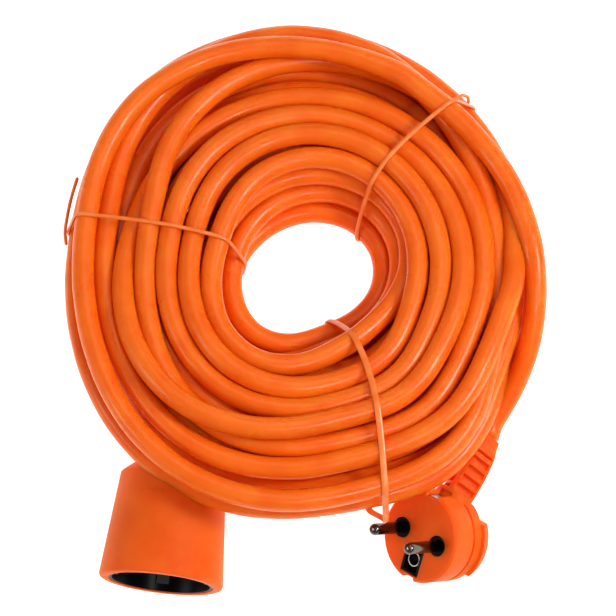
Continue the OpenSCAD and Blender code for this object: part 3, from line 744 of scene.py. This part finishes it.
def tie_band(name, start, end, reach, width, bow, low_shift=0, pull=None):
    """A closed strip round all the cord between start, on the hole's side, and end, on the
    outer side, and a reach past each. bow and low_shift carry its upper and lower runs
    sideways, and pull is a place, out from the coil and up, to which its end is drawn."""
    points, across = strip_line(np.array(start, float), np.array(end, float), reach,
                                bow, low_shift, pull)
    tangent = np.roll(points, -1, 0) - np.roll(points, 1, 0)
    tangent /= np.linalg.norm(tangent, axis=1)[:, None]
    flat_side = across - (tangent @ across)[:, None] * tangent
    flat_side /= np.linalg.norm(flat_side, axis=1)[:, None]
    outward = np.cross(flat_side, tangent)
    a = np.arange(16) * 2 * np.pi / 16
    w = width / 2 * power_wave(np.cos(a), 0.6)
    h = STRIP_T / 2 * power_wave(np.sin(a), 0.6) * (1 + RIDGE * np.exp(-(w / RIDGE_W) ** 2))
    grid = (points[:, None] + w[None, :, None] * flat_side[:, None]
            + h[None, :, None] * outward[:, None])
    band = grid_mesh(name, lean(grid) + PLACE, ring=True)
    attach(band, "root")
    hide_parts(name.replace("band", "tie"))
    band.data.materials.append(strip)


# %% [markdown]
# ### The free ends
# Two of the ties end in a short loose strand. It is a thin tube with round tips: near
# each tip its radius follows a circle.

# %% Loose strand
STRAND_STEP, STRAND_SIDES = 0.5, 12
STRAND_UP = (0.31, 0.17, 0.93)


def strand(name, points, thick):
    """A round-ended strand through points in the scene, in millimetres."""
    path = smooth_curve(np.array(points, float), STRAND_STEP)
    run = np.linspace(0, 1, len(path)) * STRAND_STEP * len(path)
    from_tip = np.minimum(run, run[-1] - run) / (thick / 2)
    tips = np.sqrt(np.clip(1 - (1 - from_tip).clip(0, 1) ** 2, 0.02, 1))
    tail = grid_mesh(name, tube_grid(path, STRAND_UP, (thick / 2 * tips)[:, None], STRAND_SIDES))
    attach(tail, "root")
    tail.data.materials.append(strip)


# %% [markdown]
# ### Tying the coil
# The left and right ties are thin, and the front tie is wider and is drawn out over the
# plug. Each bows a little sideways on its way over the top.

# %% Tie the coil
tie_band("band_left", (-25, 12), (-95, 27), reach=(8, 8), width=1.6, bow=-2)
tie_band("band_right", (19, 24.7), (69, 80.5), reach=(8, 12), width=1.8, bow=5.5)
tie_band("band_front", (11, -18), (33.3, -100.6), reach=(8, 4), width=2.6, bow=7.5,
         low_shift=-4.5, pull=(5, CORD_D))
strand("tail_left", [[-101, 30.5, 20], [-101.4, 35.7, 22], [-100.6, 41, 24],
                     [-98.8, 49, 26], [-96.2, 57.2, 28]], thick=1.4)
strand("tail_right", [[55, 85.4, 39.4], [57, 87.2, 39.8], [59.2, 88.6, 39.6],
                      [61.4, 88, 38.6], [61.8, 85.6, 37]], thick=1.3)

# %% [markdown]
# ## Softened copies of the mouldings
# A CAD edge is perfectly sharp, and a moulded one never is. Each moulding is replaced by
# a copy of its CAD part whose doubled points are merged, whose flat faces are joined, and
# whose sharp edges get a small round. The size, the holes and the place stay as in CAD.
# Only the plug's round neck changes: it is drawn down into the drum, so that the strain
# relief made below can grow out of it. The CAD mesh itself is never touched. A Bevel
# modifier would need the same merged copy, and bmesh makes both in one go.

# %% Round the edges of a CAD part
FLAT, SHARP, CREASE = math.radians(0.5), math.radians(28), math.radians(38)


def softened(node, width, material, drop=None, move=None):
    """A merged copy whose sharp edges are rounded by `width` mm. drop(centres) says which
    faces to leave out, and move(points) gives the points' new places, in millimetres."""
    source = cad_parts[node]
    work = bmesh.new()
    work.from_mesh(source.data)
    work.transform(source.matrix_world)
    bmesh.ops.remove_doubles(work, verts=work.verts, dist=0.002 * MM)
    if drop:
        gone = drop(np.array([f.calc_center_median() for f in work.faces]) / MM)
        bmesh.ops.delete(work, geom=[f for f, g in zip(work.faces, gone) if g], context="FACES")
    if move:
        placed = move(np.array([v.co for v in work.verts]) / MM) * MM
        for vertex, place in zip(work.verts, placed):
            vertex.co = place
    bmesh.ops.dissolve_limit(work, angle_limit=FLAT, verts=work.verts, edges=work.edges)
    edges = [e for e in work.edges if len(e.link_faces) == 2 and e.calc_face_angle(0) > SHARP]
    bmesh.ops.bevel(work, geom=edges, offset=width * MM, segments=2, profile=0.5,
                    affect="EDGES", clamp_overlap=True)
    bmesh.ops.triangulate(work, faces=[f for f in work.faces if len(f.verts) > 4])
    mesh = bpy.data.meshes.new("soft_" + node)
    work.to_mesh(mesh)
    work.free()
    mesh.polygons.foreach_set("use_smooth", np.ones(len(mesh.polygons), bool))
    mesh.set_sharp_from_angle(angle=CREASE)
    copy = bpy.data.objects.new("soft_" + node, mesh)
    bpy.context.scene.collection.objects.link(copy)
    copy.data.materials.append(material)
    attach(copy, "root")
    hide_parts(node)
    print(copy.name, "edges rounded:", len(edges), "faces:", len(mesh.polygons))
    return copy


# %% Soften the mouldings
NECK_TOP, NECK_R, RELIEF_FROM = -2.8, 8.6, 0.4


def past_root(points):
    """For points of the scene: their place from the strain relief's root in the plug's own
    frame, and how far along the relief that is."""
    local = (points - PLUG_AT) @ PLUG_TURN - RELIEF_ROOT
    return local, local @ RELIEF_DIR


def on_relief(points):
    """True for points on the CAD part's own strain relief."""
    return past_root(points)[1] > RELIEF_FROM


def sunk_neck(points):
    """Draws the round neck under the relief down to NECK_TOP, and leaves it a twentieth of
    its length so that its faces stay apart."""
    local, v = past_root(points)
    out = np.linalg.norm(local - v[:, None] * RELIEF_DIR, axis=1)
    drop = np.where((v > NECK_TOP) & (out < NECK_R), v - NECK_TOP - 0.05 * (v + 3), 0)
    return points - drop[:, None] * (PLUG_TURN @ RELIEF_DIR)


plug_pieces = [
    softened("plug_body", 0.45, moulding, drop=on_relief, move=sunk_neck),
    softened("plug_pin_bridge", 0.2, black)]
softened("connector_body", 0.6, moulding)
softened("connector_insert", 0.25, black)

# %% [markdown]
# ## The strain relief
# The relief is a tapered ladder: a rounded bar with five windows across each broad side
# and five notches on each narrow one, set half a step apart, so that it bends freely.
# Cutting windows with booleans would leave sharp, heavy edges, so one grid makes it all.
# Its rows run along the cord, and its columns go round |x|^p + |y|^p = 1, which is a
# circle at p = 2 and nearly a rectangle at p = 4.5. The windows are rows and columns
# pushed inwards. At its foot the bar flares and rounds off into the drum, and its tip
# is rounder and a little smaller.

# %% Profile of the relief
PITCH = (RELIEF_L - 2.6) / 5
FIRST, LAST = -PITCH, 4 * PITCH
FOOT = -8
v = np.linspace(FOOT, RELIEF_L, 210)[:, None]
a = (np.arange(120) * 2 * np.pi / 120)[None]
flare = soft_step((-2.2 - v) / 2.0)
tip = soft_step((v - LAST + 0.5) / 5)
half_w = 6.4 - 0.9 * v / RELIEF_L + 0.9 * flare - 0.3 * tip
half_t = 5.9 - 0.7 * v / RELIEF_L + 1.2 * flare - 0.2 * tip
power = 4.5 - 2.5 * flare - 1.5 * tip
squarish = (np.abs(np.cos(a)) ** power + np.abs(np.sin(a)) ** power) ** (-1 / power)
x, y = squarish * np.cos(a), squarish * np.sin(a)
print("relief rungs, mm apart:", round(PITCH, 2), "rows and columns:", x.shape)


# %% Windows and notches
def box_step(x, half, soft):
    """1 where |x| < half, 0 outside, with an edge `soft` wide."""
    return soft_step((half + soft / 2 - np.abs(x)) / soft)


WINDOW_DEPTH, NOTCH_DEPTH, ROLL = 2.5, 2.4, np.radians(-40)
laddered = box_step(v - (FIRST + LAST) / 2, (LAST - FIRST) / 2 - 0.3, 0.6)
window = box_step((v / PITCH) % 1 - 0.5, 0.32, 0.08) * laddered
notch = box_step(((v / PITCH) + 0.5) % 1 - 0.5, 0.25, 0.08) * laddered
broad = box_step(x, 0.52, 0.1) * (np.abs(y) > 0.7)
narrow = box_step(y, 0.7, 0.1) * (np.abs(x) > 0.7)
wide = x * (half_w - NOTCH_DEPTH * notch * narrow)
thick = y * (half_t - (WINDOW_DEPTH + 3.0 * x * x) * window * broad)
across = wide * np.cos(ROLL) - thick * np.sin(ROLL)
upward = wide * np.sin(ROLL) + thick * np.cos(ROLL)
ladder = (RELIEF_ROOT + v[..., None] * RELIEF_DIR + across[..., None] * np.array([1, 0, 0])
          + upward[..., None] * np.cross(RELIEF_DIR, [1, 0, 0]))
bend = (v.clip(0) / RELIEF_L)[..., None] ** 2 * RELIEF_BEND
relief = grid_mesh("relief", on_plug(ladder) + bend)
relief.data.materials.append(moulding)
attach(relief, "root")
plug_pieces.append(relief)

# %% [markdown]
# ## The pins
# Each pin is turned on a lathe: a straight shank whose end is rounded over. Its outline
# is spun about the pin's own axis, as the lathe does. A Screw modifier would spin it
# too, but a grid needs no modifier and takes the plug's tilt in the same step.

# %% Pins
PIN_R, PIN_L, PIN_PITCH = 2.4, 19.0, 19.0
rounding = np.radians(np.linspace(0, 88, 14))
PIN_OUTLINE = np.vstack([
    [[2.1, -3.0], [2.1, 0.2], [PIN_R, 0.5]],
    np.stack([PIN_R * np.cos(rounding) ** 0.8, PIN_L - 2 + 2 * np.sin(rounding)], -1)])
spin = np.arange(40) * 2 * np.pi / 40
r, z = PIN_OUTLINE[:, :1], PIN_OUTLINE[:, 1:]
for name, side in (("line", -1), ("neutral", 1)):
    spun = np.stack([r * np.cos(spin) + side * PIN_PITCH / 2, r * np.sin(spin), z + 0 * spin], -1)
    pin = grid_mesh("pin_" + name, on_plug(spun))
    pin.data.materials.append(nickel_painted_dark)
    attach(pin, "root")
    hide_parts("plug_pin_" + name)
    plug_pieces.append(pin)

# %% [markdown]
# ## Finishes on the CAD nodes
# The small metal parts and those inside are already the right shape, so they stay, and
# only their material changes. The moulding, insert, pin and tie nodes that a new piece
# replaces get the same finish as that piece.

# %% Finishes on the CAD nodes
NODE_FINISH = {
    "plug_body": moulding, "connector_body": moulding,
    "plug_pin_bridge": black, "connector_insert": black, "connector_contact_cover": black,
    "plug_pin_line": nickel_painted_dark, "plug_pin_neutral": nickel_painted_dark,
    "plug_earth_strap": steel, "connector_earth_strap": steel,
    "plug_earth_socket": steel, "plug_crimps": brass, "connector_crimps": brass,
    "connector_contact_line": brass, "connector_contact_neutral": brass,
    "plug_core_line": cores["brown"], "connector_core_line": cores["brown"],
    "plug_core_neutral": cores["blue"], "connector_core_neutral": cores["blue"],
    "plug_core_earth": cores["green"], "connector_core_earth": cores["green"],
    "tie_left": strip, "tie_right": strip, "tie_front": strip,
}
for node, material in NODE_FINISH.items():
    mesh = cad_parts[node].data
    mesh.materials.clear()
    mesh.materials.append(material)
print("CAD nodes with a finish:", len(NODE_FINISH))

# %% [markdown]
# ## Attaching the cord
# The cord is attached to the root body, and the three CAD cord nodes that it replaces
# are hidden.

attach(cord, "root")
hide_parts("cord_coil", "cord_lead_plug", "cord_lead_connector")

# %% [markdown]
# ## Floor and light
# The cord lies on a sheet of white acrylic that is lit from below, so it has no hard
# shadow and the hole stays bright. A small strong lamp on the right gives each turn its
# shape, a smaller one near the camera draws the fine highlight along it, and two wide
# weak ones behind and on the left, with an even bright surround, open the shadows.

# %% Floor
FLOOR_HALF = 1500
floor_points = FLOOR_HALF * np.array([[[-1, -1, 0], [1, -1, 0]], [[-1, 1, 0], [1, 1, 0]]])
floor = grid_mesh("floor", floor_points, closed=False, caps=(False, False))
acrylic = finish("backlit white acrylic sheet", "#C4C4C4", 0.7,
                 Emission_Color=(1, 1, 1, 1), Emission_Strength=0.82)[0]
floor.data.materials.append(acrylic)

world = bpy.data.worlds.new("studio")
world.use_nodes = True
surround = world.node_tree.nodes["Background"]
surround.inputs["Color"].default_value = (1, 1, 1, 1)
surround.inputs["Strength"].default_value = 0.3
bpy.context.scene.world = world


# %% Lamps
def softbox(name, position, size, watts):
    """A round area light at a position in metres, turned to face the middle of the floor."""
    data = bpy.data.lights.new(name, "AREA")
    data.shape, data.size, data.energy = "DISK", size, watts
    lamp = bpy.data.objects.new(name, data)
    bpy.context.scene.collection.objects.link(lamp)
    lamp.location = position
    x, y, z = position
    lamp.rotation_euler = (math.atan2(math.hypot(x, y), z), 0, math.atan2(y, x) + math.pi / 2)
    print(name, "watts:", watts)


softbox("key", (0.87, 0.045, 0.966), size=0.3, watts=7.0)
softbox("spark", (0.353, -0.421, 1.178), size=0.15, watts=2.6)
softbox("back", (0.17, 0.63, 1.13), size=0.8, watts=2)
softbox("fill", (-1.1, -0.2, 0.6), size=0.5, watts=2.4)
